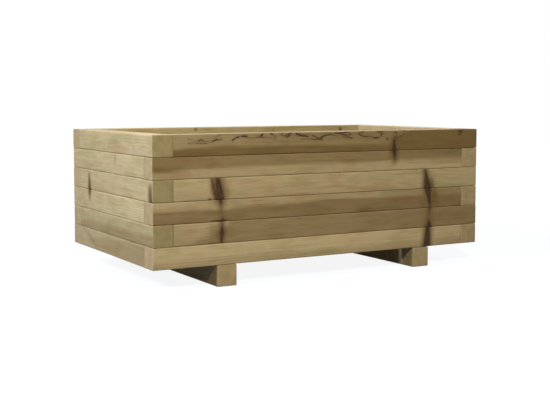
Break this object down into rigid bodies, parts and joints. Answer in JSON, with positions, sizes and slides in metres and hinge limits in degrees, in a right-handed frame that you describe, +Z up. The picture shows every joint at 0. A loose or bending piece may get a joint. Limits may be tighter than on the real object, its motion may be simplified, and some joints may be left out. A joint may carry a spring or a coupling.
{
  "type": "raised garden bed",
  "caption": "Raised garden bed of stacked square timbers with interlocking butt-and-pass corners, a slatted floor and two cross skids that lift it off the ground.",
  "frame": {"origin": "on the ground under the middle of the bed", "axes": "+X along the length of the bed, +Y from the front wall to the back wall, +Z up"},
  "size_m": [0.7, 0.4, 0.266],
  "materials": {
    "wall_timber": "planed pressure-treated pine, weathered matt",
    "skid_timber": "planed pressure-treated pine, damp and dark",
    "floor_board": "rough sawn pressure-treated pine",
    "screw_steel": "zinc plated, dull"
  },
  "bodies": {
    "root": {"front_timber_1": "wall_timber", "right_timber_1": "wall_timber", "back_timber_1": "wall_timber", "left_timber_1": "wall_timber", "front_timber_2": "wall_timber", "right_timber_2": "wall_timber", "back_timber_2": "wall_timber", "left_timber_2": "wall_timber", "front_timber_3": "wall_timber", "right_timber_3": "wall_timber", "back_timber_3": "wall_timber", "left_timber_3": "wall_timber", "front_timber_4": "wall_timber", "right_timber_4": "wall_timber", "back_timber_4": "wall_timber", "left_timber_4": "wall_timber", "front_timber_5": "wall_timber", "right_timber_5": "wall_timber", "back_timber_5": "wall_timber", "left_timber_5": "wall_timber", "front_timber_6": "wall_timber", "right_timber_6": "wall_timber", "back_timber_6": "wall_timber", "left_timber_6": "wall_timber", "skid_left": "skid_timber", "skid_right": "skid_timber", "floor_board_1": "floor_board", "floor_board_2": "floor_board", "corner_screws": "screw_steel", "skid_screws": "screw_steel"}
  },
  "joints": []
}
